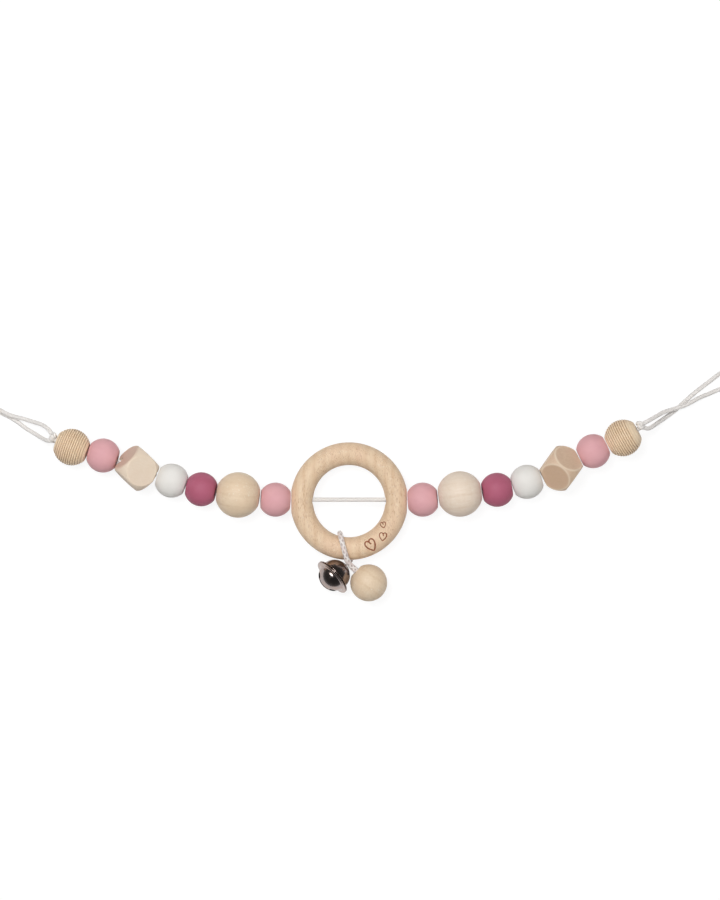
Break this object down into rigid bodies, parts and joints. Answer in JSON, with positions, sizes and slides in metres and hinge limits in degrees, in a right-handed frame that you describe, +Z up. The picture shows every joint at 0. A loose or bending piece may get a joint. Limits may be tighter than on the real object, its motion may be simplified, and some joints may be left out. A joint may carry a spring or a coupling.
{
  "type": "pram chain toy",
  "caption": "String of coloured wooden beads with a wooden grip ring, a jingle bell and a bead hanging from it, tied across a pram by a cord loop at each end.",
  "frame": {"origin": "on the table under the middle of the toy's footprint, leaving out the two tying loops and their knots", "axes": "+X along the chain to the right as pictured, +Y away from the bell, +Z up from the table"},
  "size_m": [0.4355, 0.1253, 0.024],
  "materials": {
    "beech": "smooth turned beech, waxed, satin",
    "maple": "smooth turned maple, untreated, satin",
    "ribbed_maple": "maple turned with fine V grooves",
    "birch": "bare wood with sanded flat faces, matt",
    "pink_paint": "dusty pink toy paint on wood, satin",
    "mauve_paint": "mauve toy paint on wood, satin",
    "white_paint": "white toy paint on wood, satin",
    "white_cord": "round braided polyester cord, white",
    "braided_cord": "silvery white braid with a pinkish fleck",
    "dark_steel": "black nickel plate, polished"
  },
  "bodies": {
    "ring": {"grip_ring": "beech"},
    "middle_cord": {"cord_middle": "white_cord"},
    "left_link_1": {"cord_left_1": "white_cord"},
    "left_inner_pink": {"left_inner_pink_bead": "pink_paint"},
    "left_link_2": {"cord_left_2": "white_cord"},
    "left_large": {"left_large_bead": "maple"},
    "left_link_3": {"cord_left_3": "white_cord"},
    "left_mauve": {"left_mauve_bead": "mauve_paint"},
    "left_link_4": {"cord_left_4": "white_cord"},
    "left_white": {"left_white_bead": "white_paint"},
    "left_link_5": {"cord_left_5": "white_cord"},
    "left_faceted": {"left_faceted_bead": "birch"},
    "left_link_6": {"cord_left_6": "white_cord"},
    "left_outer_pink": {"left_outer_pink_bead": "pink_paint"},
    "left_link_7": {"cord_left_7": "white_cord", "left_knot": "white_cord", "left_loop": "white_cord"},
    "left_ribbed": {"left_ribbed_bead": "ribbed_maple"},
    "right_link_1": {"cord_right_1": "white_cord"},
    "right_inner_pink": {"right_inner_pink_bead": "pink_paint"},
    "right_link_2": {"cord_right_2": "white_cord"},
    "right_large": {"right_large_bead": "maple"},
    "right_link_3": {"cord_right_3": "white_cord"},
    "right_mauve": {"right_mauve_bead": "mauve_paint"},
    "right_link_4": {"cord_right_4": "white_cord"},
    "right_white": {"right_white_bead": "white_paint"},
    "right_link_5": {"cord_right_5": "white_cord"},
    "right_faceted": {"right_faceted_bead": "birch"},
    "right_link_6": {"cord_right_6": "white_cord"},
    "right_outer_pink": {"right_outer_pink_bead": "pink_paint"},
    "right_link_7": {"cord_right_7": "white_cord", "right_knot": "white_cord", "right_loop": "white_cord"},
    "right_ribbed": {"right_ribbed_bead": "ribbed_maple"},
    "pendant": {"pendant_cord": "braided_cord"},
    "pendant_bead": {"pendant_bead": "maple"},
    "bell": {"bell_upper_shell": "dark_steel", "bell_lower_shell": "dark_steel", "bell_shank": "dark_steel"},
    "clapper": {"bell_clapper": "dark_steel"}
  },
  "joints": [
    {"name": "ring_turn", "type": "hinge", "parent": "ring", "child": "middle_cord", "pos_m": [0.00101, 0.00567, 0.0099], "axis": [1, 0, 0], "continuous": true},
    {"name": "left_bend_1", "type": "hinge", "parent": "middle_cord", "child": "left_link_1", "pos_m": [-0.02964, 0.00567, 0.0099], "axis": [0, 0, -1], "range_deg": [-8, 4]},
    {"name": "left_inner_pink_spin", "type": "hinge", "parent": "left_link_1", "child": "left_inner_pink", "pos_m": [-0.03776, 0.00567, 0.00983], "axis": [-0.9956, 0.0437, 0.0828], "continuous": true},
    {"name": "left_bend_2", "type": "hinge", "parent": "left_link_1", "child": "left_link_2", "pos_m": [-0.04587, 0.00639, 0.01125], "axis": [0, 0, -1], "range_deg": [-12, 5]},
    {"name": "left_large_spin", "type": "hinge", "parent": "left_link_2", "child": "left_large", "pos_m": [-0.05735, 0.00818, 0.012], "axis": [-0.9904, 0.1379, 0], "continuous": true},
    {"name": "left_bend_3", "type": "hinge", "parent": "left_link_2", "child": "left_link_3", "pos_m": [-0.06888, 0.00959, 0.01125], "axis": [0, 0, -1], "range_deg": [-12, 6]},
    {"name": "left_mauve_spin", "type": "hinge", "parent": "left_link_3", "child": "left_mauve", "pos_m": [-0.07688, 0.01114, 0.00998], "axis": [-0.9752, 0.2117, -0.0641], "continuous": true},
    {"name": "left_bend_4", "type": "hinge", "parent": "left_link_3", "child": "left_link_4", "pos_m": [-0.0848, 0.01304, 0.0102], "axis": [0, 0, -1], "range_deg": [-12, 3]},
    {"name": "left_white_spin", "type": "hinge", "parent": "left_link_4", "child": "left_white", "pos_m": [-0.09251, 0.01571, 0.0096], "axis": [-0.9462, 0.3231, 0.0179], "continuous": true},
    {"name": "left_bend_5", "type": "hinge", "parent": "left_link_4", "child": "left_link_5", "pos_m": [-0.10023, 0.01831, 0.0105], "axis": [0, 0, -1], "range_deg": [-12, 7]},
    {"name": "left_faceted_spin", "type": "hinge", "parent": "left_link_5", "child": "left_faceted", "pos_m": [-0.1106, 0.02222, 0.01124], "axis": [-0.9351, 0.3543, 0], "continuous": true},
    {"name": "left_bend_6", "type": "hinge", "parent": "left_link_5", "child": "left_link_6", "pos_m": [-0.12095, 0.02616, 0.0105], "axis": [0, 0, -1], "range_deg": [-5, 9]},
    {"name": "left_outer_pink_spin", "type": "hinge", "parent": "left_link_6", "child": "left_outer_pink", "pos_m": [-0.12861, 0.02892, 0.00955], "axis": [-0.96, 0.279, -0.0242], "continuous": true},
    {"name": "left_bend_7", "type": "hinge", "parent": "left_link_6", "child": "left_link_7", "pos_m": [-0.1366, 0.03071, 0.0101], "axis": [0, 0, -1], "range_deg": [-12, 5]},
    {"name": "left_ribbed_spin", "type": "hinge", "parent": "left_link_7", "child": "left_ribbed", "pos_m": [-0.14509, 0.03336, 0.00975], "axis": [-0.9392, 0.3433, -0.0114], "continuous": true},
    {"name": "right_bend_1", "type": "hinge", "parent": "middle_cord", "child": "right_link_1", "pos_m": [0.03166, 0.00567, 0.0099], "axis": [0, 0, 1], "range_deg": [-9, 3]},
    {"name": "right_inner_pink_spin", "type": "hinge", "parent": "right_link_1", "child": "right_inner_pink", "pos_m": [0.03979, 0.00567, 0.00983], "axis": [0.9944, 0.0655, 0.0829], "continuous": true},
    {"name": "right_bend_2", "type": "hinge", "parent": "right_link_1", "child": "right_link_2", "pos_m": [0.04785, 0.00674, 0.01125], "axis": [0, 0, 1], "range_deg": [-12, 6]},
    {"name": "right_large_spin", "type": "hinge", "parent": "right_link_2", "child": "right_large", "pos_m": [0.0593, 0.00869, 0.012], "axis": [0.9917, 0.1288, 0], "continuous": true},
    {"name": "right_bend_3", "type": "hinge", "parent": "right_link_2", "child": "right_link_3", "pos_m": [0.07088, 0.00973, 0.01125], "axis": [0, 0, 1], "range_deg": [-12, 7]},
    {"name": "right_mauve_spin", "type": "hinge", "parent": "right_link_3", "child": "right_mauve", "pos_m": [0.07894, 0.01086, 0.01017], "axis": [0.9842, 0.1727, -0.0401], "continuous": true},
    {"name": "right_bend_4", "type": "hinge", "parent": "right_link_3", "child": "right_link_4", "pos_m": [0.08691, 0.01254, 0.0106], "axis": [0, 0, 1], "range_deg": [-13, 2]},
    {"name": "right_white_spin", "type": "hinge", "parent": "right_link_4", "child": "right_white", "pos_m": [0.09468, 0.01505, 0.01012], "axis": [0.9502, 0.3098, 0.0338], "continuous": true},
    {"name": "right_bend_5", "type": "hinge", "parent": "right_link_4", "child": "right_link_5", "pos_m": [0.10242, 0.0176, 0.01115], "axis": [0, 0, 1], "range_deg": [-13, 3]},
    {"name": "right_faceted_spin", "type": "hinge", "parent": "right_link_5", "child": "right_faceted", "pos_m": [0.11251, 0.02222, 0.0119], "axis": [0.9022, 0.4313, 0], "continuous": true},
    {"name": "right_bend_6", "type": "hinge", "parent": "right_link_5", "child": "right_link_6", "pos_m": [0.12241, 0.02716, 0.01115], "axis": [0, 0, 1], "range_deg": [-8, 7]},
    {"name": "right_outer_pink_spin", "type": "hinge", "parent": "right_link_6", "child": "right_outer_pink", "pos_m": [0.1295, 0.03121, 0.01095], "axis": [0.8997, 0.4308, 0.0699], "continuous": true},
    {"name": "right_bend_7", "type": "hinge", "parent": "right_link_6", "child": "right_link_7", "pos_m": [0.13712, 0.0342, 0.01129], "axis": [0, 0, 1], "range_deg": [-11, 4]},
    {"name": "right_ribbed_spin", "type": "hinge", "parent": "right_link_7", "child": "right_ribbed", "pos_m": [0.14509, 0.03816, 0.0121], "axis": [0.8634, 0.4728, 0.1764], "continuous": true},
    {"name": "pendant_swing", "type": "hinge", "parent": "ring", "child": "pendant", "pos_m": [-0.00169, -0.01998, 0.0094], "axis": [0.9942, -0.108, 0], "range_deg": [-80, 40]},
    {"name": "pendant_bead_spin", "type": "hinge", "parent": "pendant", "child": "pendant_bead", "pos_m": [0.01134, -0.03816, 0.00975], "axis": [-0.7193, 0.6947, 0], "continuous": true},
    {"name": "bell_swing", "type": "hinge", "parent": "pendant", "child": "bell", "pos_m": [0.00074, -0.02756, 0.00603], "axis": [0.4908, -0.7168, 0.4953], "range_deg": [-4, 10]},
    {"name": "clapper_rattle", "type": "slide", "parent": "bell", "child": "clapper", "axis": [0, 0, 1], "range_m": [0, 0.0105]}
  ]
}
